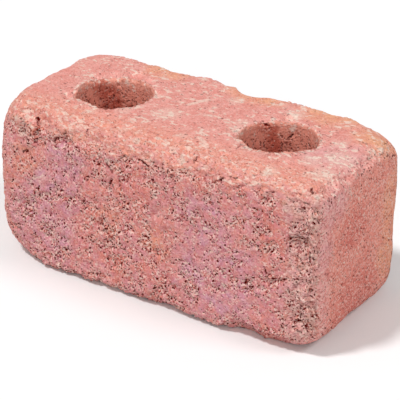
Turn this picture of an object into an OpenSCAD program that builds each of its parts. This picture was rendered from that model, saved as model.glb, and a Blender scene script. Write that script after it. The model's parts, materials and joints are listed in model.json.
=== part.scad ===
// Tumbled concrete landscape block with two round core holes.
// The origin is at the middle of the bed face: +X runs along the block, -Y is the front face
// and +Z is up. Millimetres.

/* [Block] */
// Length between the two ends, along X
length = 280; // [250:1:400]
// Depth from the front face to the back face, along Y
depth = 128; // [105:1:200]
// Height from the bed face to the top face, along Z
height = 128; // [105:1:200]

/* [Core holes] */
// Diameter of each core hole
core_d = 56; // [20:0.1:68]
// Distance between the centres of the two core holes
core_spacing = 142; // [110:0.1:172]
// Width of the worn lip at each mouth
lip_width = 1.5; // [1:0.5:6]
// Depth of the worn lip at each mouth
lip_depth = 3; // [1:0.5:8]

/* [Arris wear] */
// Round of the two long arrises of the top face
long_top_r = 9; // [5:0.5:16]
// Round of the two long arrises of the bed face
long_bed_r = 8; // [5:0.5:16]
// Round of the top face's arrises at the ends
end_top_r = 14; // [8:0.5:20]
// Round of the bed face's arrises at the ends
end_bed_r = 20; // [8:0.5:24]
// Round of the upright arrises
upright_r = 18; // [8:0.5:20]
// Round of the one upright arris that stayed crisp
crisp_r = 6; // [3:0.5:10]

/* [Nibbles] */
// Distance between the small chips along an arris
nibble_spacing = 32; // [24:1:60]
// Width of an average small chip
nibble_width = 17; // [10:1:24]
// Depth of an average small chip below the rounded arris
nibble_depth = 1.6; // [0.8:0.1:3]
// Seed of the scatter of the small chips
nibble_seed = 31; // [1:1:99]

/* [Hidden] */

concrete = [0.82, 0.56, 0.52];

// Facets round a worn knuckle, a multiple of four so that it reaches equally far along each axis.
knuckle_fn = 28;
// A faceted ball of this much more radius comes just past its nominal size along every axis, so
// that the envelope trims it flat.
knuckle_reach = 1.001 / cos(180 / knuckle_fn);
// Facets round a large chip, a small one and a core hole.
chip_fn = 40;
nibble_fn = 20;
core_fn = 96;
// How far the small chips stray from even steps, and from the average width and depth.
place_scatter = 0.7;
width_scatter = 0.35;
depth_scatter = 0.4;
// Turn of each chipping ball, so that its facets meet no face of the block squarely.
chip_turn = [17, 31, 43];
// Length by which a cutting tool passes through a face.
pass_through = 5;

left = -1;
right = 1;
front = -1;
back = 1;
bed = -1;
top = 1;

half = [length / 2, depth / 2, height / 2];

// How far each corner is knocked off along X, Y and Z.
corner_wear = [
    [[left, front, bed], [38, 16, 24]],
    [[left, front, top], [16, 27, 34]],
    [[left, back, bed], [20, 18, 18]],
    [[left, back, top], [24, 14, 14]],
    [[right, front, bed], [30, 18, 20]],
    [[right, front, top], [14, 12, 15]],
    [[right, back, bed], [16, 24, 20]],
    [[right, back, top], [36, 18, 18]]
];

// The arrises: the axis each one follows, the signs of the two faces that meet there, and its round.
// Along X the signs are those of Y and Z, along Y those of X and Z, and along Z those of X and Y.
arrises = [
    [0, [front, bed], long_bed_r],
    [0, [front, top], long_top_r],
    [0, [back, bed], long_bed_r],
    [0, [back, top], long_top_r],
    [1, [left, bed], end_bed_r],
    [1, [left, top], end_top_r],
    [1, [right, bed], end_bed_r],
    [1, [right, top], end_top_r],
    [2, [left, front], upright_r],
    [2, [left, back], upright_r],
    [2, [right, front], crisp_r],
    [2, [right, back], upright_r]
];

// The large chips: the axis and signs of the arris, the place along it as a share of its half
// length, the width of the chip along it, and its depth below the rounded arris.
chips = [
    [0, [back, top], 0.1, 32, 8.5],
    [0, [back, top], 0.21, 26, 3],
    [0, [back, top], -0.42, 24, 2.5],
    [0, [back, top], 0.58, 24, 2.5],
    [0, [front, bed], 0.59, 34, 8.5],
    [0, [front, bed], 0.77, 34, 7],
    [0, [front, bed], 0.09, 44, 3],
    [0, [front, top], -0.7, 34, 5],
    [0, [front, top], 0.23, 36, 2.5],
    [0, [back, bed], -0.5, 38, 4],
    [0, [back, bed], 0.34, 30, 3.5],
    [1, [right, bed], -0.12, 34, 3],
    [1, [left, top], 0.34, 26, 3],
    [1, [left, bed], 0.1, 34, 3.5],
    [2, [right, front], 0.46, 26, 2.5],
    [2, [right, front], -0.54, 28, 2.5],
    [2, [left, back], 0.12, 34, 3],
    [2, [right, back], -0.1, 60, 4]
];

// Puts the two signs of an arris and one value along it in X, Y, Z order.
function in_axes(axis, signs, along) =
    axis == 0 ? [along, signs[0], signs[1]] :
    axis == 1 ? [signs[0], along, signs[1]] :
    [signs[0], signs[1], along];

function times(a, b) = [for (i = [0:2]) a[i] * b[i]];

// How far the corner at the given signs is knocked off.
function wear_at(signs) = [for (corner = corner_wear) if (corner[0] == signs) corner[1]][0];

// The round of the arris that follows an axis at the given signs.
function round_at(axis, signs) =
    [for (arris = arrises) if (arris[0] == axis && arris[1] == signs) arris[2]][0];

// A faceted ball or egg that reaches the envelope's three faces at a corner.
module knuckle(signs, radii, inset = [0, 0, 0]) {
    translate(times(signs, half - radii - inset))
        scale(radii)
            sphere(r = knuckle_reach, $fn = knuckle_fn);
}

// The two shoulders of an arris, where it takes its own round again past the worn corners.
module shoulders(axis, signs, r) {
    for (end = [-1, 1]) {
        corner = in_axes(axis, signs, end);
        inset = in_axes(axis, [0, 0], wear_at(corner)[axis]);
        knuckle(corner, [r, r, r], inset);
    }
}

// The block with its corners knocked off and its arrises rounded, before anything breaks off it.
// The mould's box trims its six faces flat.
module rounded_blank() {
    intersection() {
        cube([length, depth, height], center = true);
        hull() {
            for (corner = corner_wear)
                knuckle(corner[0], corner[1]);
            for (arris = arrises)
                shoulders(arris[0], arris[1], arris[2]);
        }
    }
}

// The ball that breaks a chip of the given width and depth out of a rounded arris.
module chip(axis, signs, share, width, deep) {
    ball_r = (width * width / 4 + deep * deep) / (2 * deep);
    corner = in_axes(axis, signs, share);
    outward = in_axes(axis, signs, 0) / sqrt(2);
    ridge = times(half, corner) - outward * (sqrt(2) - 1) * round_at(axis, signs);
    translate(ridge + outward * (ball_r - deep))
        rotate(chip_turn)
            sphere(r = ball_r);
}

// The small chips of one arris, scattered about even steps along it.
module nibbles(axis, signs, seed) {
    steps = floor(2 * half[axis] / nibble_spacing);
    scatter = rands(-1, 1, 3 * steps, seed);
    for (i = [0:steps - 1]) {
        share = (2 * i + 1 + place_scatter * scatter[3 * i]) / steps - 1;
        width = nibble_width * (1 + width_scatter * scatter[3 * i + 1]);
        deep = nibble_depth * (1 + depth_scatter * scatter[3 * i + 2]);
        chip(axis, signs, share, width, deep);
    }
}

// The tumbled block before its core holes, kept to the nominal envelope.
module tumbled_blank() {
    resize([length, depth, height])
        difference() {
            rounded_blank();
            for (c = chips)
                chip(c[0], c[1], c[2], c[3], c[4], $fn = chip_fn);
            for (i = [0:len(arrises) - 1])
                nibbles(arrises[i][0], arrises[i][1], nibble_seed + i, $fn = nibble_fn);
        }
}

// Outline of half a core hole from its axis outwards. Each worn lip opens in two steps, the outer
// one twice as steep across, and runs on past the face at the same slope.
function core_outline(r) =
    let (
        knee = [lip_width / 3, lip_depth / 3],
        mouth_slope = (lip_width - knee[0]) / knee[1],
        past_lip = r + lip_width + pass_through * mouth_slope
    )
    [
        [0, -pass_through],
        [past_lip, -pass_through],
        [r + knee[0], knee[1]],
        [r, lip_depth],
        [r, height - lip_depth],
        [r + knee[0], height - knee[1]],
        [past_lip, height + pass_through],
        [0, height + pass_through]
    ];

module core_hole() {
    rotate_extrude($fn = core_fn)
        polygon(core_outline(core_d / 2));
}

module block() {
    color(concrete)
        difference() {
            translate([0, 0, height / 2])
                tumbled_blank();
            for (side = [left, right])
                translate([side * core_spacing / 2, 0, 0])
                    core_hole();
        }
}

block();
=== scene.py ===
# %% [markdown]
# # A tumbled concrete block
#
# The real block is one lump of coloured concrete. A press forms it with two round core
# holes, and then it tumbles in a drum among other blocks, so its corners break off, its
# arrises chip, and its rough front opens into grains, pits and pores.
#
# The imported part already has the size, the holes and the large chips. It is loaded first
# as a fixed frame, so everything made here takes its place from it and needs no fitting.

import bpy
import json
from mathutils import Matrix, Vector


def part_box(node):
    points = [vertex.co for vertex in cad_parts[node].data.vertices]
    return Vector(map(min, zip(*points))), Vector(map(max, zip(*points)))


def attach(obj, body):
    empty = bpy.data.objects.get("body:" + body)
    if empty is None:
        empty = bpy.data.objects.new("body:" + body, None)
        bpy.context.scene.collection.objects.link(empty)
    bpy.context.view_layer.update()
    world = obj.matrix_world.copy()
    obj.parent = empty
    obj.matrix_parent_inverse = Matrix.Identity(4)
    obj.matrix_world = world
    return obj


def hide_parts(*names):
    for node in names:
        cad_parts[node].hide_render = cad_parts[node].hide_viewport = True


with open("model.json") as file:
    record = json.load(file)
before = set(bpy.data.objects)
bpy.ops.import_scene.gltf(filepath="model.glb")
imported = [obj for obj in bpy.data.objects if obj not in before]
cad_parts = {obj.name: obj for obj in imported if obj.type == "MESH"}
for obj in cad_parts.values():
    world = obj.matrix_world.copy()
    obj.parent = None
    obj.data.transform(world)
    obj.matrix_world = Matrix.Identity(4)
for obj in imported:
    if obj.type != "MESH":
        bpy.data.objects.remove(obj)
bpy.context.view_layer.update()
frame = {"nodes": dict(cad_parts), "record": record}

# %% Open the toolbox
import json
import math
from functools import reduce

import bpy
import numpy as np
from mathutils import Vector

# %% [markdown]
# ## Sizes
#
# Blender measures in metres, but a mason thinks in millimetres, and so do the patterns
# below. The block's sizes come from its box and the core holes from the record's mounts,
# so every pattern keeps to its own face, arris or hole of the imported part.

# %% Measure the block in millimetres
MM = 0.001
lowest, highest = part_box("block")
length, depth, height = (highest - lowest) / MM
half_length = length / 2
half_depth = depth / 2
half_height = height / 2
cores = [m for m in frame["record"]["mounts"] if m["kind"] == "bore"]
core_r = cores[0]["dims"]["r_mm"]
core_places = [(m["pos_m"][0] / MM, m["pos_m"][1] / MM, 0) for m in cores]
print("block", round(length), round(depth), round(height), "cores at", core_places)

# %% [markdown]
# ## Maths on wires
#
# A weathered surface is mostly arithmetic: add two patterns, mask one by another, blend
# two colours. In a node editor each sum is a box. The small class below holds one output
# of a node, a wire, and answers to +, -, * and /, so that the sums read as sums. A number
# uses a Math node, a place uses Vector Math, and a colour uses Mix, because a Math node
# would turn a colour grey. The same wires work in a shader and in geometry nodes, so one
# pattern can both dent the mesh and darken the paint in the dent.


# %% Wire
class Wire:
    """One output of a node, on which node maths is written as plain expressions."""

    def __init__(self, tree, socket=None):
        self.tree = tree
        self.socket = socket

    def node(self, kind, settings=None, sockets=None, output=0):
        """Adds a node to the tree: its settings first, and then its sockets' values or links."""
        made = self.tree.nodes.new(kind)
        for name, value in (settings or {}).items():
            setattr(made, name, value)
        for key, value in (sockets or {}).items():
            if isinstance(value, Wire):
                self.tree.links.new(value.socket, made.inputs[key])
            else:
                made.inputs[key].default_value = value
        return Wire(self.tree, made.outputs[output] if made.outputs else None)

    def other(self, output):
        """Another output of the node that this wire leaves."""
        return Wire(self.tree, self.socket.node.outputs[output])

    def maths(self, operation, first, second=0.0):
        """One sum, on whichever node suits what goes in."""
        both = (first, second)
        types = [item.socket.type if isinstance(item, Wire) else type(item) for item in both]
        if "RGBA" in types:
            sockets = {0: 1.0, 6: grey(first), 7: grey(second)}
            return self.node("ShaderNodeMix", {"data_type": "RGBA", "blend_type": operation}, sockets, 2)
        if "VECTOR" in types or tuple in types:
            sockets = {0: three(first), 1: three(second)}
            return self.node("ShaderNodeVectorMath", {"operation": operation}, sockets)
        return self.node("ShaderNodeMath", {"operation": operation}, {0: first, 1: second})

    def __add__(self, other):
        return self.maths("ADD", self, other)

    def __radd__(self, other):
        return self.maths("ADD", other, self)

    def __sub__(self, other):
        return self.maths("SUBTRACT", self, other)

    def __rsub__(self, other):
        return self.maths("SUBTRACT", other, self)

    def __mul__(self, other):
        return self.maths("MULTIPLY", self, other)

    def __rmul__(self, other):
        return self.maths("MULTIPLY", other, self)

    def __truediv__(self, other):
        return self.maths("DIVIDE", self, other)

    def __abs__(self):
        return self.maths("ABSOLUTE", self)

    def least(self, other):
        return self.maths("MINIMUM", self, other)

    def most(self, other):
        return self.maths("MAXIMUM", self, other)

    def rise(self, low, high):
        """0 up to low, 1 from high on, and a smooth slope between them."""
        sockets = {0: self, 1: low, 2: high}
        return self.node("ShaderNodeMapRange", {"interpolation_type": "SMOOTHSTEP"}, sockets)

    def distance(self, place):
        """How far this place is from another one."""
        return self.node("ShaderNodeVectorMath", {"operation": "DISTANCE"}, {0: self, 1: place}, 1)

    def mix(self, colour, amount):
        """This colour, giving way to another one as amount goes from 0 to 1."""
        sockets = {0: amount, 6: self, 7: colour}
        return self.node("ShaderNodeMix", {"data_type": "RGBA"}, sockets, 2)


def three(item):
    """A plain number as a vector with that number three times."""
    return (item,) * 3 if isinstance(item, (int, float)) else item


def grey(item):
    """A plain number as a grey colour."""
    return (item, item, item, 1.0) if isinstance(item, (int, float)) else item


# %% [markdown]
# ## Patterns of broken stone
#
# Concrete shows four kinds of random pattern. Noise gives soft patches, for colour that
# drifts and faces that are not quite flat. The same noise cut off high up leaves small
# ragged specks, which is what crumbs of dust look like. Voronoi cells give each grain of
# sand a shade of its own. Dots at random places, drawn round the cells' middles, are the
# craters where a stone fell out, and very small ones are the pores. A pore shows up best
# with a painted highlight on its lip below it, where the light falls.
#
# Every helper takes its size in millimetres. The patterns are endless and the same on each
# run, and a number added to the place, as in place + 23, only moves to another stretch of
# one, so that no two masks fall on the same spots by chance.


# %% Patches, specks, grains and dots
def noise(place, size, detail=2.0):
    """Plain noise, mostly from 0.3 to 0.7."""
    sockets = {"Vector": place, "Scale": 1 / size, "Detail": detail, "Roughness": 0.55}
    return place.node("ShaderNodeTexNoise", {}, sockets)


def patches(place, size, detail=2.0, contrast=0.18):
    """Soft patches about this many millimetres across, from 0 to 1 with half of each."""
    return noise(place, size, detail).rise(0.5 - contrast, 0.5 + contrast)


def specks(place, size, crowd, least=0.68, spread=0.06):
    """Ragged specks: few where crowd is 0 and many where it is 1."""
    return (noise(place, size, 1.5) + spread * crowd).rise(least, least + 0.05)


def bend(place, size, reach):
    """The place pushed about at random, so that what is drawn there has no clean outline."""
    sockets = {"Vector": place, "Scale": 1 / size, "Detail": 2.0}
    push = place.node("ShaderNodeTexNoise", {}, sockets, 1)
    settings = {"operation": "MULTIPLY_ADD"}
    pushed = place.node("ShaderNodeVectorMath", settings, {0: push, 1: three(2.0 * reach), 2: place})
    return pushed - reach


def grains(place, size):
    """Packed grains: two random numbers of each grain's own."""
    cells = place.node("ShaderNodeTexVoronoi", {}, {"Vector": place, "Scale": 1 / size}, 1)
    own = place.node("ShaderNodeSeparateXYZ", {}, {0: cells})
    return own, own.other(1)


def dots(place, spacing, radius, share, softness=0.5):
    """Dots of up to this radius, on a share of random places: 1 in the middle and 0 outside."""
    from_middle = place.node("ShaderNodeTexVoronoi", {}, {"Vector": place, "Scale": 1 / spacing})
    draw = place.node("ShaderNodeSeparateXYZ", {}, {0: from_middle.other(1)})
    kept = draw.rise(1 - share - 0.02, 1 - share + 0.02)
    reach = radius / spacing * (0.45 + 0.55 * draw.other(1)) * kept
    return (reach - from_middle).rise(0.0, softness * radius / spacing)


def pores(place, spacing, radius, share):
    """Small open holes on a share of random places, and the lit lip below each, for a painted highlight.
    """
    above = place + (0.2 * radius, 0.3 * radius, 1.3 * radius)
    hole = dots(place, spacing, radius, share, 0.3)
    return hole, dots(above, spacing, 1.1 * radius, share, 0.3) * (1 - hole)


# %% [markdown]
# ## Marks at chosen places
#
# A random pattern never puts a mark where it is wanted, so the larger marks are listed one
# by one. A round mark is 1 close to its centre, and a long one is 1 close to a line between
# two points. Both fade out softly, and look ragged when the place that they are given was
# bent first. Marks of one kind are joined by taking the strongest at each place. To keep
# the lists of marks short, a place on a face needs only two numbers.


# %% Round marks, long marks and places on a face
def near(place, centre, radius):
    """1 close to the centre, 0 from a little past the radius on, and a soft edge between."""
    return 1 - place.distance(centre).rise(0.4 * radius, 1.2 * radius)


def along(place, start, end, radius):
    """1 close to the line from start to end, 0 from a little past the radius on."""
    way = Vector(end) - Vector(start)
    sockets = {0: place - start, 1: tuple(way / way.length_squared)}
    share = place.node("ShaderNodeVectorMath", {"operation": "DOT_PRODUCT"}, sockets, 1)
    sockets = {0: tuple(way), "Scale": share.most(0.0).least(1.0)}
    nearest = place.node("ShaderNodeVectorMath", {"operation": "SCALE"}, sockets) + start
    return near(place, nearest, radius)


def strongest(masks):
    """The strongest of several masks at each place."""
    return reduce(Wire.most, masks)


# A loop of marks starts from this one, no larger than a pinhead, in the middle of the bed: its
# centre and its radius.
PINHEAD = ((0, 0, 0), 1)


def front(x, z):
    """A place on the front face, this far along and this high."""
    return (x, -half_depth, z)


def top(x, y):
    """A place on the top face, this far along and this far back."""
    return (x, y, height)


def right_end(y, z):
    """A place on the right end, this far back and this high."""
    return (half_length, y, z)


# %% [markdown]
# ## Where on the block
#
# Wear doesn't treat every face alike. The front was broken open in the drum, the ends and
# the top keep the mould's smoother skin, the arrises took the knocks, and the core walls
# were out of reach, so they show only pores. A crumbly brow hangs over the front's upper
# arris, and a rough strip runs down its right one. The survey turns a place into masks for
# these zones, and every pattern is then multiplied by the masks that it belongs to. The
# patterns that both dent the mesh and darken the paint are noted there too, so that the
# two agree.

# %% Broken places, calm places and crevices
# Where the concrete broke open: the centre and the radius.
BROKEN = [
    (front(-100, 114), 14),
    (front(-70, 116), 9),
    (front(-41, 108), 7),
    (front(-19, 112), 7),
    (front(32, 116), 6),
    (front(100, 116), 7),
    (front(-108, 45), 12),
    (front(-89, 34), 8),
    (front(-39, 55), 6),
    (front(-14, 58), 6),
    (front(52, 102), 5),
    (front(105, 79), 7),
    (front(105, 54), 6),
    (front(86, 42), 6),
    (front(128, 88), 8),
    (front(128, 30), 10),
    (front(10, 14), 7),
]
# Where its skin stayed calm: the centre and the radius.
CALM = [
    (front(-8, 90), 13),
    (front(117, 108), 10),
    (front(-88, 80), 9),
    (front(-70, 78), 7),
    (front(-40, 84), 6),
    (front(16, 80), 6),
    (front(75, 102), 8),
    (front(61, 27), 6),
    (front(88, 64), 5),
    (top(-5, -10), 18),
]
# Crevices round the larger stones: both ends and the radius.
CREVICES = [
    ((-100, -58, 122), (-97, -60, 120), 1.2),
    ((-97, -60, 120), front(-95, 114), 1.4),
    (front(-95, 114), front(-97, 111), 1.3),
    (front(-97, 106), front(-98, 104), 1.4),
    (front(-109, 93), front(-107, 94), 1.5),
    (front(-105, 92), front(-102, 90), 1.3),
    (front(-81, 109), front(-78, 112), 1.4),
    (front(-72, 119), front(-71, 121), 1.2),
    (front(-70, 107), front(-70, 104), 1.4),
    ((-54, -58, 127), front(-54, 122), 1.1),
    (front(-63, 85), front(-60, 91), 0.9),
    (front(-50, 89), front(-51, 86), 1.2),
    (front(-33, 104), front(-28, 99), 1.0),
    (front(-29, 93), front(-31, 89), 1.0),
    (front(-5, 116), front(2, 113), 1.0),
    (front(14, 118), front(16, 111), 1.2),
    (front(37, 124), (39, -56, 127), 1.2),
    (front(53, 124), (54, -60, 127), 1.2),
    (front(63, 119), front(64, 121), 1.3),
    ((70, -63, 124), (75, -63, 125), 1.2),
    ((85, -57, 128), (87, -56, 128), 1.1),
    (front(101, 121), front(104, 123), 1.1),
    ((129, -52, 128), (131, -54, 126), 1.4),
    (front(100, 63), front(103, 54), 1.0),
    (front(106, 54), front(116, 58), 1.0),
    (front(118, 91), front(136, 94), 0.9),
    (front(124, 27), front(133, 28), 1.2),
    (top(20, 5), top(21, 5), 1.1),
    ((49, 17, 127), (52, 21, 122), 1.3),
    ((66, 28, 118), (63, 27, 115), 0.9),
]
print("placed", len(BROKEN), "broken places,", len(CALM), "calm ones and", len(CREVICES), "crevices")


# %% Survey a place
class Survey:
    """The zones of the block at a place in millimetres, each from 0 to 1."""

    def __init__(self, place):
        self.x = place.node("ShaderNodeSeparateXYZ", {}, {0: place})
        self.y = self.x.other(1)
        z = self.x.other(2)
        ragged = bend(place, 9, 6)
        ragged_x = ragged.node("ShaderNodeSeparateXYZ", {}, {0: ragged})
        ragged_z = ragged_x.other(2)

        # The middle one of the three distances to the faces tells how close the next arris is.
        from_end = half_length - abs(self.x)
        from_side = half_depth - abs(self.y)
        self.from_bed_or_top = half_height - abs(z - half_height)
        nearer = from_end.least(from_side)
        farther = from_end.most(from_side)
        from_arris = nearer.most(farther.least(self.from_bed_or_top))
        self.arris = 1 - from_arris.rise(2, 13)

        self.front = (0 - self.y).rise(half_depth - 16, half_depth - 5)
        self.back = self.y.rise(half_depth - 16, half_depth - 5)
        self.top = ragged_z.rise(height - 14, height - 5)
        self.end = abs(self.x).rise(half_length - 12, half_length - 4)
        self.skin = self.top.most(self.end * (1 - self.front))

        flat = place * (1, 1, 0)
        from_axis = reduce(Wire.least, [flat.distance(core_place) for core_place in core_places])
        from_wall = from_axis - core_r
        self.wall = 1 - from_wall.rise(0.3, 2)
        self.mouth = (1 - from_wall.rise(1.5, 6)) * (1 - self.from_bed_or_top.rise(1, 4))

        # The brow comes further down on the left than on the right, and seams of open
        # concrete run below it and along the foot of the front.
        self.strip = self.front * ragged_x.rise(half_length - 28, half_length - 18)
        above_brow = ragged_z - (height - 16) - 9 * ragged_x.rise(20, 60)
        self.brow = (0 - self.y).rise(20, 50) * above_brow.rise(-3, 6)
        seam = self.front * (1 - abs(above_brow).rise(2, 8)).most(1 - z.rise(2, 10))

        # How open the surface is: in clusters, where it broke, on the strip and on the seams.
        self.broken = strongest([near(ragged, *spot) for spot in BROKEN])
        clusters = 0.3 + 0.7 * patches(place + 23, 34, 3.0, 0.16)
        clusters = clusters * patches(place + 61, 7, 2.5, 0.08)
        on_strip = 0.6 * self.strip * patches(place + 49, 9, 2.0, 0.1)
        on_seam = 0.8 * seam * patches(place + 15, 14, 2.0, 0.1)
        calm = strongest([near(ragged, *spot) for spot in CALM])
        self.open = strongest([clusters, self.broken, on_strip, on_seam]) * (1 - 0.85 * calm)

        # How crowded the pores are. The right end's skin is full of fine ones.
        crowd = self.open * (1 - 0.8 * self.skin) * (1 - 0.4 * self.brow)
        on_right_end = 0.42 * self.end * (1 - self.front) * self.x.rise(0, 1)
        self.crowd = strongest([crowd, 0.6 * self.mouth.most(self.wall), on_right_end])
        self.pits = specks(place + 29, 3.2, self.crowd, 0.69, 0.06)

        # Crevices are broken up by gaps, and thin layers show on the strip.
        crooked = bend(place, 3, 1.3)
        crevices = near(crooked, *PINHEAD)
        for crevice in CREVICES:
            crevices = crevices.most(along(crooked, *crevice))
        layers = specks(place * (0.4, 0.4, 1.0) + 37, 2.6, self.strip, 0.66, 0.03)
        gaps = patches(place + 79, 2.0, 2.0, 0.05)
        self.crevices = crevices * (0.2 + 0.8 * gaps) + 0.4 * layers * self.strip


# %% [markdown]
# ## The broken relief
#
# A tumbled face is not one pattern but a pile of them: the whole face sways a little,
# lumps of stone stand out of it, grains cover the lumps, and pits are left where a stone
# fell out. Wear mostly takes away, so the relief is a depth below the mould's surface in
# millimetres. It is below 0 where a stone or a lip stands proud, and the block's box stops
# it there later. A few dents and stones are larger than any pattern and sit where the drum
# left them, so they are listed one by one.

# %% Dents and bulges
# Dents: the centre, the radius and the depth.
DENTS = [
    (front(-104, 95), 6, 2.5),
    (front(-91, 119), 7, 3),
    (front(-70, 112), 8, 2.5),
    (front(-40, 118), 9, 2.5),
    (front(10, 77), 7, 2),
    (front(110, 60), 8, 2),
    (front(127, 89), 9, 2),
    (front(127, 28), 10, 3),
    (top(-97, 14), 9, 3),
    (top(-93, -22), 8, 3),
    (top(-42, 14), 6, 2),
    (top(60, 33), 6, 3),
    (top(48, 18), 6, 2),
    (top(-89, 24), 7, 3),
    (top(-76, 33), 8, 3),
    (top(-62, 31), 6, 2),
]
# Stones and lips that stand out: the centre, the radius and how far.
BULGES = [
    (front(-100, 115), 6, 3),
    (front(-111, 119), 5, 2.5),
    ((-73, -55, 128), 4, 1.5),
    ((-46, -59, 127), 7, 2),
    (front(-45, 117), 5, 1.5),
    ((-31, -63, 123), 4, 1.5),
    (front(7, 123), 5, 1.5),
    ((136, -60, 124), 6, 2.5),
    ((135, -62, 108), 6, 2.5),
    (top(78, -26), 20, 5),
    (top(94, -14), 13, 4),
    (top(54, -21), 9, 3),
    (top(-74, -29), 8, 1.5),
    ((-24, half_depth - 3, height - 3), 14, 1.5),
]
print("placed", len(DENTS), "dents and", len(BULGES), "bulges")


# %% Relief
def relief(place):
    """How deep the weathered surface lies below the mould's, in millimetres."""
    zone = Survey(place)
    bent = bend(place, 9, 3)
    rough = zone.front.most(0.9 * zone.arris).most(zone.brow).most(0.8 * zone.mouth)
    rough = rough.most(0.35 * zone.back).most(0.14)
    lumps = patches(bent, 12, 2.5)
    fine = patches(place + 13, 4.0, 2.0, 0.12)
    sharp = patches(place + 27, 2.4, 1.0, 0.12)
    craters = dots(bent + 57, 15, 4.5, 0.5) * zone.crowd
    crumbly = 0.9 * zone.open + 0.5 * zone.strip + 0.5 * zone.arris
    down = rough * (1.3 * lumps + (0.5 + crumbly) * fine + 0.8 * crumbly * sharp + 1.5 * craters)
    down = down + 1.2 * zone.pits
    down = down + (0.25 + zone.front) * patches(place + 91, 60, 1.0)
    down = down + 1.6 * zone.broken * patches(bent + 7, 6, 1.5, 0.1) + 1.8 * zone.crevices
    off_deep_wall = 1 - zone.wall * zone.from_bed_or_top.rise(1, 5)
    for centre, radius, deep in DENTS:
        down = down + deep * near(bent, centre, radius) * off_deep_wall
    for centre, radius, proud in BULGES:
        down = down - proud * near(place, centre, radius)
    return down - 0.5 * rough - 0.3 * zone.arris - 0.6 * zone.mouth


# The long front arris takes this round, and this much more near its middle.
ARRIS_ROUND = 12
MIDDLE_ROUND = 8


def rounded(place):
    """The place, moved in onto a rounder arris where the long front arris wore most."""
    x = place.node("ShaderNodeSeparateXYZ", {}, {0: place})
    y, z = x.other(1), x.other(2)
    near_arris = (0 - y).rise(0, 30) * z.rise(half_height, half_height + 20)
    radius = near_arris * (ARRIS_ROUND + MIDDLE_ROUND * near(place, front(-25, height), 70))
    lowest_centre = radius + front(-half_length, 0)
    highest_centre = (half_length, half_depth, height) - radius
    centre = place.most(lowest_centre).least(highest_centre)
    outward = place - centre
    return centre + outward * (radius / outward.distance((0, 0, 0))).least(1.0)


# %% [markdown]
# ## From the part to a weathered mesh
#
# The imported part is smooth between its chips, with few and uneven faces, so there is
# nothing to dent. A voxel remesh skins a copy of it with small even faces, and a little
# smoothing takes the voxel steps away. Geometry nodes then note each point's place in the
# fresh block, for the paint to use later. They ease the long front arris into a rounder
# one first, since points pushed in from a tight round would only sharpen it, and then push
# each point inwards by the relief. Last, a decimate takes faces away where the surface
# turned out flat, because a face is only worth keeping where it shows something. It leaves
# a few points a hair outside the block's box, so those are put back on it.


# %% Skin a copy of the part with small even faces
def placed(name, data):
    """An object that holds the data, in the scene."""
    item = bpy.data.objects.new(name, data)
    bpy.context.scene.collection.objects.link(item)
    return item


def evaluated(piece, name):
    """The piece's mesh with its modifiers applied, as a new mesh."""
    graph = bpy.context.evaluated_depsgraph_get()
    mesh = bpy.data.meshes.new_from_object(piece.evaluated_get(graph), depsgraph=graph)
    mesh.name = name
    return mesh


VOXEL = 0.95
SMOOTHING_STEPS = 6
block = placed("tumbled_block", frame["nodes"]["block"].data.copy())
block.data.materials.clear()
weld = block.modifiers.new("weld", "WELD")
weld.merge_threshold = 0.01 * MM
skin = block.modifiers.new("skin", "REMESH")
skin.mode = "VOXEL"
skin.voxel_size = VOXEL * MM
soften = block.modifiers.new("soften", "SMOOTH")
soften.iterations = SMOOTHING_STEPS
block.data = evaluated(block, "fresh block")
block.modifiers.clear()
print("fresh block:", len(block.data.vertices), "points")


# %% Weather the skin with geometry nodes
def weathering():
    """The node group that notes each point's place and pushes the point in by the relief."""
    tree = bpy.data.node_groups.new("weathering", "GeometryNodeTree")
    tree.interface.new_socket("Geometry", in_out="INPUT", socket_type="NodeSocketGeometry")
    tree.interface.new_socket("Geometry", in_out="OUTPUT", socket_type="NodeSocketGeometry")
    start = Wire(tree)
    skin_in = start.node("NodeGroupInput")
    position = start.node("GeometryNodeInputPosition")
    place = position / MM
    noted = start.node(
        "GeometryNodeStoreNamedAttribute",
        {"data_type": "FLOAT_VECTOR", "domain": "POINT"},
        {"Geometry": skin_in, "Name": "mould_place", "Value": place},
    )
    kept_place = start.node(
        "GeometryNodeInputNamedAttribute", {"data_type": "FLOAT_VECTOR"}, {"Name": "mould_place"}
    )
    smooth = rounded(kept_place) * MM
    eased = start.node("GeometryNodeSetPosition", {}, {"Geometry": noted, "Position": smooth})

    # Where the points are moved a second time, position stands for where the first move left them.
    inwards = start.node("GeometryNodeInputNormal") * -MM
    worn = position + inwards * relief(kept_place)
    worn = worn.most(tuple(lowest)).least(tuple(highest))
    moved = start.node("GeometryNodeSetPosition", {}, {"Geometry": eased, "Position": worn})
    start.node("NodeGroupOutput", {}, {0: moved})
    return tree


MOST_TRIANGLES = 195_000
weather = block.modifiers.new("weather", "NODES")
weather.node_group = weathering()
# The skin is all four-sided faces, so each is worth two triangles.
thin = block.modifiers.new("thin", "DECIMATE")
thin.ratio = MOST_TRIANGLES / (2 * len(block.data.polygons))
block.data = evaluated(block, "tumbled block")
block.modifiers.clear()
for point in block.data.vertices:
    point.co = [min(max(value, low), high) for value, low, high in zip(point.co, lowest, highest)]
block.data.calc_loop_triangles()
print("tumbled block:", len(block.data.loop_triangles), "triangles")

# %% [markdown]
# ## A flat layout of the surface
#
# The paint below needs no layout, because it reads each point's place in the fresh block.
# A game or a web page needs one, to hold the paint as a picture. An automatic unwrap would
# cut this grainy surface into thousands of scraps. The fresh block is only six rectangles
# and two rolled-up walls, so each face is laid on the side nearest to it in the mould, and
# the eight pieces are packed on one square sheet.

# %% Lay the eight pieces out
# The pieces lie in four rows and two columns, with a gap between them.
GAP = 6
row_step = max(depth, height) + GAP
sheet = 4 * row_step
second_column = length + 2 * GAP
# A face closer than this to a core wall, and further than this from its mouths, is laid out
# with the wall.
WALL_REACH = 2
MOUTH_REACH = 1.5


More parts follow.
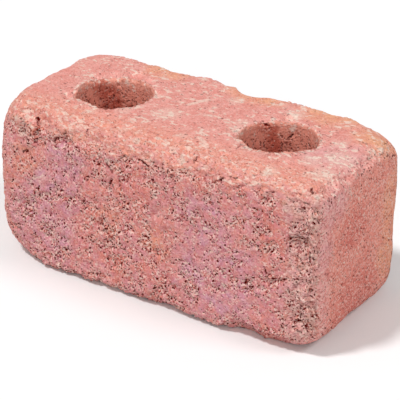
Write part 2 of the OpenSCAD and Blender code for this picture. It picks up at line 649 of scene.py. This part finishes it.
def numbers(items, name, width, kind=np.float32):
    """One number or vector of each item, as an array."""
    found = np.empty(len(items) * width, kind)
    items.foreach_get(name, found)
    return found.reshape(-1, width) if width > 1 else found


def lay_out(mesh):
    """Gives the mesh the map named OFBake, with its eight pieces side by side."""
    place = numbers(mesh.attributes["mould_place"].data, "vector", 3)
    corner_of = numbers(mesh.loops, "vertex_index", 1, np.int32)
    sides = numbers(mesh.polygons, "loop_total", 1, np.int32)
    face_of = np.repeat(np.arange(len(sides)), sides)
    corner = place[corner_of]
    middle = np.stack([np.bincount(face_of, corner[:, i]) / sides for i in range(3)], 1)
    from_centre = middle - (0, 0, half_height)
    inset = np.array([half_length, half_depth, half_height]) - abs(from_centre)
    nearest = inset.argmin(1)
    on_far_side = np.take_along_axis(from_centre, nearest[:, None], 1)[:, 0] > 0
    low_corner = (-half_length, -half_depth, 0)
    flat = np.zeros((len(corner), 2))

    # Each pair of faces: its axis, the two axes across it, its column and its first row.
    pairs = [(0, 1, 2, second_column, 0), (1, 0, 2, GAP, 0), (2, 0, 1, GAP, 2)]
    for axis, u, v, column, first_row in pairs:
        for far in (False, True):
            chosen = ((nearest == axis) & (on_far_side == far))[face_of]
            flat[chosen, 0] = corner[chosen, u] - low_corner[u] + column
            flat[chosen, 1] = corner[chosen, v] - low_corner[v] + (first_row + far) * row_step

    # Each core wall is unrolled. A face's corners stay on its own side of the cut.
    for row, (x, y, _) in enumerate(core_places, 2):
        from_axis = middle[:, :2] - (x, y)
        on_wall = np.hypot(*from_axis.T) < core_r + WALL_REACH
        chosen = (on_wall & (inset[:, 2] > MOUTH_REACH))[face_of]
        turn = np.arctan2(from_axis[:, 1], from_axis[:, 0])[face_of]
        own = np.arctan2(corner[:, 1] - y, corner[:, 0] - x)
        step = (own - turn + math.pi) % (2 * math.pi) - math.pi
        unrolled = (turn + step + math.pi) * core_r + second_column
        flat[chosen, 0] = unrolled[chosen]
        flat[chosen, 1] = corner[chosen, 2] + row * row_step
    layer = mesh.uv_layers.new(name="OFBake", do_init=False)
    layer.uv.foreach_set("vector", (flat / sheet).astype(np.float32).ravel())
    return flat.max(0) / sheet


print("the layout fills", lay_out(block.data).round(2), "of its sheet")

# %% [markdown]
# ## The coloured concrete
#
# The colour runs right through a block like this one. It could be one noise between two
# colours, but real concrete has a story in layers, and the paint follows it: first the
# paste that came out of the mixer, then the dust and scratches of the drum, and then the
# grains and pores. Each layer is a function that takes the colour so far and gives it back
# with its own marks mixed in.
#
# The colours are written the way a paint chart gives them, from 0 to 255, and turned into
# the linear light that a shader works in by the standard sRGB curve.


# %% Paint chart
def paint(red, green, blue):
    """A paint chart's colour as the linear light that shaders mix."""
    shares = [channel / 255 for channel in (red, green, blue)]
    return (*[s / 12.92 if s <= 0.04045 else ((s + 0.055) / 1.055) ** 2.4 for s in shares], 1.0)


# The paste and its clouds, from the front round to the ends and the core walls, with the
# painted shadow that the rims cast on the walls.
SALMON = paint(245, 167, 160)
MAUVE = paint(231, 170, 188)
RED = paint(245, 154, 145)
DEEP_RED = paint(234, 138, 125)
ORANGE = paint(250, 168, 143)
TOP_SKIN = paint(251, 178, 167)
BROW = paint(252, 172, 153)
BACK_EDGE = paint(252, 184, 145)
END_SKIN = paint(253, 168, 151)
PALE_END = paint(247, 180, 178)
OCHRE_END = paint(252, 177, 144)
STRIP = paint(248, 192, 180)
WALL_SKIN = paint(254, 172, 151)
WALL_SHADE = paint(200, 100, 80)
PALE_CRUMB = paint(238, 196, 178)
# Marks on the paste. The dark sand, pores and crevices carry painted shade, and the pale
# sand and the pores' lips painted highlights.
DUST = paint(255, 226, 210)
PALE_STONE = paint(242, 222, 206)
PALE_SAND_AND_HIGHLIGHT = paint(255, 216, 204)
DARK_SAND_AND_SHADE = paint(152, 34, 22)
# The painted shade inside pores, pits and crevices.
HOLE_SHADE = paint(110, 6, 0)

# %% [markdown]
# ### Paste
#
# Pigment and cement were never stirred quite evenly, so salmon paste drifts into mauve,
# red and orange clouds. The drift is random. The clouds that give this block its face are
# placed on a bent place, so that no cloud looks round. The darker streaks down the core
# walls are painted shadow, where each rim shades its wall from the high left lamp.

# %% Clouds, and the shadow streaks painted on the core walls
# Clouds in the paste: the colour, the centre and the radius.
CLOUDS = [
    (PALE_CRUMB, front(-107, 116), 11),
    (PALE_CRUMB, front(118, 116), 9),
    (MAUVE, front(-95, 40), 36),
    (MAUVE, front(-84, 72), 26),
    (MAUVE, front(-68, 98), 20),
    (MAUVE, front(62, 40), 44),
    (MAUVE, front(48, 84), 24),
    (RED, front(-10, 95), 28),
    (RED, front(-27, 28), 16),
    (RED, front(106, 92), 18),
    (RED, front(-100, 108), 14),
    (ORANGE, front(-32, 55), 14),
    (ORANGE, front(10, 53), 16),
    (ORANGE, front(-108, 88), 14),
    (PALE_END, top(118, -4), 24),
    (PALE_END, right_end(-40, 112), 22),
    (PALE_END, right_end(-50, 80), 14),
    (ORANGE, right_end(-56, 22), 10),
    (DEEP_RED, right_end(-12, 80), 20),
    (DEEP_RED, right_end(-6, 18), 36),
    (OCHRE_END, right_end(52, 80), 30),
    (OCHRE_END, right_end(48, 40), 26),
    (BACK_EDGE, (-60, half_depth, height), 26),
    (BACK_EDGE, (20, half_depth, height), 30),
    (BACK_EDGE, (85, half_depth, height), 32),
    (BACK_EDGE, (128, 40, height), 20),
]
# Painted shadow streaks down the core walls, where the rims cast their shadow: both ends and the radius.
RIM_SHADE_STREAKS = [
    ((50, 18, 126), (56, 24, 104), 7),
    ((-94, 15, 125), (-89, 21, 104), 8),
]
print("placed", len(CLOUDS), "clouds and", len(RIM_SHADE_STREAKS), "streaks")


# %% Mix the paste
def paste(place, zone):
    """The colour of the bare paste, with its clouds and the painted shadow streaks on the core walls."""
    # The drift and the skin of each face, and then the clouds.
    bent = bend(place, 16, 9)
    drift = patches(place + 5, 38, 3.0)
    colour = place.node("ShaderNodeMix", {"data_type": "RGBA"}, {0: drift, 6: SALMON, 7: RED}, 2)
    colour = colour.mix(MAUVE, 0.4 * patches(place + 19, 33, 3.0, 0.1) * zone.front)
    colour = colour.mix(END_SKIN, 0.85 * zone.end)
    colour = colour.mix(TOP_SKIN, 0.9 * zone.top)
    for tint, centre, radius in CLOUDS:
        colour = colour.mix(tint, 0.95 * near(bent, centre, radius))
    colour = colour.mix(ORANGE, 0.4 * patches(place + 47, 9, 2.5, 0.1) * zone.front.most(zone.brow))

    # The pale strip and the paler paste beside it, the brow, and a blush of red all over.
    colour = colour.mix(STRIP, 0.75 * zone.strip)
    pale_edge = zone.end * (0 - zone.y).rise(half_depth - 28, half_depth - 12) * zone.x.rise(0, 1)
    colour = colour.mix(PALE_END, 0.7 * pale_edge * (1 - zone.strip))
    colour = colour.mix(BROW, 0.6 * zone.brow)
    blush = patches(place + 33, 7, 3.0, 0.1)
    colour = colour.mix(DEEP_RED, 0.42 * blush * (1 - zone.strip))

    # The core walls with their painted shadow streaks, and last the finest drift.
    colour = colour.mix(WALL_SKIN, zone.wall)
    for start, end, radius in RIM_SHADE_STREAKS:
        colour = colour.mix(WALL_SHADE, 0.8 * zone.wall * along(bent, start, end, radius))
    colour = colour.mix(MAUVE, 0.3 * patches(place + 71, 4.5, 2.0, 0.12) * zone.front)
    return colour.mix(BACK_EDGE, 0.25 * patches(place + 77, 5, 2.0, 0.12) * zone.brow)


# %% [markdown]
# ### Dust, scratches and stones
#
# Where the drum rubbed, on the arrises and round the mouths, crumbs of dust stick to the
# paste, and a harder rub leaves a pale scuff. The crumbs are ragged specks, stretched
# along the block, which crowd together where the dust lies thick. Scratches are long
# marks, and a few pale stones show where the paste broke off them.

# %% Scuffs, scratches and stones
# Dust: the centre, the radius and how thick it lies.
SCUFFS = [
    (top(-41, 12), 7, 0.9),
    (top(-17, -10), 12, 0.8),
    (top(-19, 13), 4, 0.8),
    (top(12, 37), 8, 0.7),
    (top(9, 4), 3.5, 1.0),
    (top(38, -4), 8, 0.7),
    (top(36, 8), 6, 0.8),
    (top(13, -35), 5, 0.8),
    (top(60, 39), 9, 0.8),
    (top(93, -47), 8, 0.8),
    (top(122, -5), 14, 0.8),
    (top(124, -32), 11, 0.9),
    (top(108, -18), 10, 0.7),
    (top(112, 16), 8, 0.7),
    (top(136, 20), 6, 0.9),
    (top(-96, -6), 6, 0.8),
    (top(-46, -22), 7, 0.7),
    (top(-66, -38), 6, 0.8),
    (top(-30, -50), 6, 0.6),
]
# Scratches: both ends, the radius and how bright they are.
SCRATCHES = [
    (top(-13, 12), top(-6, 27), 2.2, 1.0),
    (top(25, -30), top(36, -38), 2.0, 0.9),
    ((-69, -60, 127), top(-62, -50), 1.2, 1.0),
    (front(-47, 106), front(-38, 111), 1.1, 0.9),
    (front(-31, 119), front(-23, 122), 1.0, 0.7),
    (front(-100, 74), front(-91, 79), 1.1, 0.9),
    (right_end(-21, 119), right_end(-17, 110), 0.9, 0.8),
    (right_end(-34, 118), right_end(-36, 111), 0.9, 0.8),
]
# Pale and grey stones that show: the centre and the radius.
STONES = [
    (front(-110, 109), 4.5),
    (front(-114, 120), 3.5),
    (front(-109, 116), 1.2),
    ((-92, -56, 125), 1.4),
    ((-104, -58, 123), 1.2),
    (front(-66, 97), 1.2),
    (front(-58, 120), 1.1),
    (top(-12, -56), 4),
    (top(1, -47), 2.6),
    (front(-32, 107), 3),
    ((30, -60, 123), 3.2),
    ((35, -57, 127), 2.2),
    (top(93, -51), 5),
    ((136, 31, 124), 3),
    ((136, 42, 121), 2),
    ((135, -55, 124), 3.4),
    ((136, -62, 111), 1.8),
    ((137, -63, 105), 1.9),
    (front(118, 50), 1.8),
    (top(50, -9), 2.6),
    (top(40, -8), 2.8),
    (top(51, 25), 2.8),
    (front(68, 38), 2.4),
]
print("placed", len(SCUFFS), "scuffs,", len(SCRATCHES), "scratches and", len(STONES), "stones")


# %% Lay dust and stones on the paste
def dust_and_stones(place, zone, colour):
    """The colour with dust, scratches and stones on it, and the masks of chips and of crumbs."""
    # Dust lies where it drifted on the top, on the chipped arrises and round the mouths.
    ragged = bend(place, 7, 4)
    frayed = bend(place, 2.5, 1.2)
    dusty = 0.7 * patches(place + 63, 18, 4.0, 0.1) * zone.top
    chipped = zone.arris.most(zone.brow) * patches(ragged, 7, 3.0, 0.12)
    dusty = dusty.most(0.85 * chipped)
    dusty = dusty.most(0.95 * zone.mouth * (1 - 0.7 * zone.wall))
    rubbed = near(place, *PINHEAD)
    for centre, radius, thick in SCUFFS:
        rubbed = rubbed.most(thick * near(ragged, centre, radius))
    dusty = dusty.most(rubbed)
    crumbs = specks(place * (0.6, 1.0, 1.0) + 83, 2.8, dusty, 0.67, 0.17)
    colour = colour.mix(DUST, 0.08 * dusty + 0.42 * rubbed + 0.8 * crumbs)

    for start, end, radius, bright in SCRATCHES:
        colour = colour.mix(DUST, 0.75 * bright * along(frayed, start, end, radius))
    for centre, radius in STONES:
        colour = colour.mix(PALE_STONE, 0.85 * near(frayed, centre, 0.85 * radius))
    return colour, chipped, crumbs


# %% [markdown]
# ### Grains and pores
#
# A sand grain is about a millimetre across, so a face shows many thousands. Each takes a
# random shade, and only the palest and the darkest are painted, since a few strong grains
# look like sand and many weak ones like fog. The pale and dark grains also carry painted
# highlights and painted shade, for a relief too fine for the mesh. Grains and pores crowd
# together where the surface broke open, and the calm skin between the crowds is what makes
# the rest look rough. Pores, pits and crevices are painted a dark maroon, never grey, as
# the painted shade inside holes in red paste.


# %% Sprinkle grains and open pores
def grains_and_pores(place, zone, chipped, crumbs, colour):
    """The colour with its grains and pores, painted shade and highlights among them, and the masks of
    the grains, grit and holes.
    """
    shade, luck = grains(place, 1.0)
    crooked = bend(place, 1.6, 1.0)
    crumb, hue = grains(crooked, 2.4)
    grit = patches(place + 3, 1.6, 2.0, 0.16)
    calm = zone.skin.most(zone.wall)
    loose = (zone.open * (1 - calm)).most(0.8 * chipped * zone.brow)

    # Coarse grains lie loose where the surface is open, and fine ones nearly everywhere.
    colour = colour.mix(ORANGE, 0.5 * loose * hue.rise(0.66, 0.7))
    colour = colour.mix(PALE_SAND_AND_HIGHLIGHT, 0.5 * loose * crumb.rise(0.82, 0.86))
    colour = colour.mix(DEEP_RED, 0.5 * loose * (1 - crumb.rise(0.2, 0.24)))
    strength = (0.32 + 0.75 * loose + 0.12 * zone.end) * (1 - 0.4 * zone.top) * (1 - 0.7 * crumbs)
    # The fine pale and dark grains are partly the sand's own tone and partly painted highlight and
    # painted shade of the fine relief.
    colour = colour.mix(PALE_SAND_AND_HIGHLIGHT, 1.2 * strength * (1 - zone.wall) * shade.rise(0.75, 0.8))
    colour = colour.mix(DARK_SAND_AND_SHADE, 0.8 * strength * (1 - shade.rise(0.15, 0.2)))
    colour = colour.mix(DARK_SAND_AND_SHADE, 0.13 * luck)
    colour = colour.mix(DARK_SAND_AND_SHADE, (0.14 - 0.06 * calm) * (1 - grit))

    # Small and wide pores with their lips, and the pits and crevices that dent the mesh too.
    # The holes take painted shade: they are painted dark maroon, the shade inside them.
    small, small_lit_lip = pores(crooked, 1.7, 0.9, 0.07 + 0.8 * zone.crowd)
    wide, wide_lit_lip = pores(crooked + 53, 3.2, 1.3, 0.8 * zone.crowd)
    # Painted highlight: the pale lip below each pore, where the light falls.
    colour = colour.mix(PALE_SAND_AND_HIGHLIGHT, (0.7 - 0.35 * calm) * small_lit_lip.most(wide_lit_lip))
    # Painted shade: pores, pits, crevices and the strip's layers are painted dark maroon.
    holes = small.most(wide).most(0.35 * zone.pits) * (1 - 0.5 * zone.top - 0.3 * zone.wall).most(0.0)
    holes = holes.most(zone.crevices)
    return colour.mix(HOLE_SHADE, holes), shade, grit, holes


# %% [markdown]
# ### The finished concrete
#
# The layers are joined here. A bump too fine for the mesh lets the grains stand out and
# the pores sink in, and the roughness is high all over, because concrete has no polish.


# %% Concrete
def bare_material(name):
    """A new material with no nodes, and a wire to start its nodes from."""
    material = bpy.data.materials.new(name)
    material.use_nodes = True
    material.node_tree.nodes.clear()
    return material, Wire(material.node_tree)


def concrete():
    """The block's material, painted from the place that each point had in the fresh block."""
    material, start = bare_material("red_concrete")
    place = start.node("ShaderNodeAttribute", {"attribute_name": "mould_place"}, {}, "Vector")
    zone = Survey(place)

    colour = paste(place, zone)
    colour, chipped, crumbs = dust_and_stones(place, zone, colour)
    colour, shade, grit, holes = grains_and_pores(place, zone, chipped, crumbs, colour)

    height_mm = 0.28 * shade + 0.35 * grit - 1.0 * holes
    bump = place.node("ShaderNodeBump", {}, {"Height": height_mm, "Distance": MM, "Strength": 1.0})
    sockets = {
        "Base Color": colour,
        "Roughness": 0.82 + 0.16 * grit,
        "Specular IOR Level": 0.1,
        "Normal": bump,
    }
    surface = start.node("ShaderNodeBsdfPrincipled", {}, sockets)
    start.node("ShaderNodeOutputMaterial", {}, {"Surface": surface})
    return material


block.data.materials.append(concrete())
block.data.shade_smooth()
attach(block, "root")
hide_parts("block")
print("painted", block.name)

# %% [markdown]
# ## Floor, light and camera
#
# The block lies on a plain pale floor in a studio. Two soft lamps stand high on its left
# and its right, a weak fill comes from the camera's side, and the room adds light from all
# round. Together they give a white card that faces up a brightness of about 1, so a colour
# renders as it is written. Suns are used as lamps, because their light doesn't fade across
# a wide floor, and a wide sun has the soft shadow of a softbox.
#
# The background should be white without more light on the block. So the floor and the room
# show white to the camera, and in mirrors and glass, and give the block less than that.
#
# The camera looks from the right and from above, through a long lens more than a metre
# away, so that the block's far arrises look hardly shorter than its near ones.


# %% Floor and room
# How white the floor is to the block and to the camera, and its reach each way in metres.
FLOOR_REFLECTS = 0.7
FLOOR_SHOWS = 0.97
FLOOR_REACH = 8.0


def shown(start):
    """1 for a ray that the camera sees, straight or by a mirror or a glass, and 0 for the rest."""
    seen = start.node("ShaderNodeLightPath")
    return seen.most(seen.other("Is Glossy Ray")).most(seen.other("Is Transmission Ray"))


def floor_paint():
    """White to the camera and a little darker as a reflector, so it doesn't flood the block."""
    material, start = bare_material("floor")
    sockets = {0: shown(start), 6: grey(FLOOR_REFLECTS), 7: grey(FLOOR_SHOWS)}
    colour = start.node("ShaderNodeMix", {"data_type": "RGBA"}, sockets, 2)
    surface = start.node("ShaderNodeBsdfDiffuse", {}, {"Color": colour})
    start.node("ShaderNodeOutputMaterial", {}, {"Surface": surface})
    return material


corners = [(x * FLOOR_REACH, y * FLOOR_REACH, 0) for x, y in ((-1, -1), (1, -1), (1, 1), (-1, 1))]
floor_mesh = bpy.data.meshes.new("floor")
floor_mesh.from_pydata(corners, [], [(0, 1, 2, 3)])
floor = placed("floor", floor_mesh)
floor.location.z = lowest.z
floor.data.materials.append(floor_paint())

# How bright the room is to the block. The camera sees it at 1.
ROOM_LIGHT = 0.35
world = bpy.data.worlds.new("room")
world.use_nodes = True
world.node_tree.nodes.clear()
start = Wire(world.node_tree)
strength = ROOM_LIGHT + (1 - ROOM_LIGHT) * shown(start)
room = start.node("ShaderNodeBackground", {}, {"Color": grey(1.0), "Strength": strength})
start.node("ShaderNodeOutputWorld", {}, {"Surface": room})
bpy.context.scene.world = world
print("laid a floor", 2 * FLOOR_REACH, "m wide")


# %% Lamps
def direction(azimuth, elevation):
    """The way to something at this azimuth, counted from the front to the right, and elevation."""
    a = math.radians(azimuth)
    e = math.radians(elevation)
    return Vector((math.sin(a) * math.cos(e), -math.cos(a) * math.cos(e), math.sin(e)))


def softbox(name, azimuth, elevation, brightness, width):
    """A soft lamp. brightness is what it gives a white card that faces it, and width is in degrees."""
    lamp = bpy.data.lights.new(name, "SUN")
    lamp.energy = brightness * math.pi
    lamp.angle = math.radians(width)
    holder = placed(name, lamp)
    holder.rotation_mode = "QUATERNION"
    holder.rotation_quaternion = direction(azimuth, elevation).to_track_quat("Z", "Y")


# Each lamp: its name, azimuth, elevation, brightness and width.
LAMPS = [
    ("left softbox", -36, 64, 0.52, 7),
    ("right softbox", 103, 50, 0.22, 16),
    ("front fill", 34, 22, 0.2, 40),
]
white_card = ROOM_LIGHT
for name, azimuth, elevation, brightness, width in LAMPS:
    softbox(name, azimuth, elevation, brightness, width)
    white_card += brightness * direction(azimuth, elevation).z
print("a white card that faces up shows", round(white_card, 2))

# %% Camera
CAMERA_AZIMUTH = 34.11
CAMERA_ELEVATION = 27.34
CAMERA_DISTANCE = 1.228
# The focal length and the sensor's width in millimetres, and the small shift that centres
# the block in the frame.
FOCAL_LENGTH = 150
SENSOR_WIDTH = 36
SHIFT = (0.014, -0.0175)

lens = bpy.data.cameras.new("camera")
lens.lens = FOCAL_LENGTH
lens.sensor_width = SENSOR_WIDTH
lens.shift_x, lens.shift_y = SHIFT
camera = placed("camera", lens)
middle = (lowest + highest) / 2
camera.location = middle + CAMERA_DISTANCE * direction(CAMERA_AZIMUTH, CAMERA_ELEVATION)
camera.rotation_mode = "QUATERNION"
camera.rotation_quaternion = (middle - camera.location).to_track_quat("-Z", "Y")
bpy.context.scene.camera = camera
bpy.context.scene.view_settings.view_transform = "Standard"
print("camera at", tuple(round(value, 3) for value in camera.location))
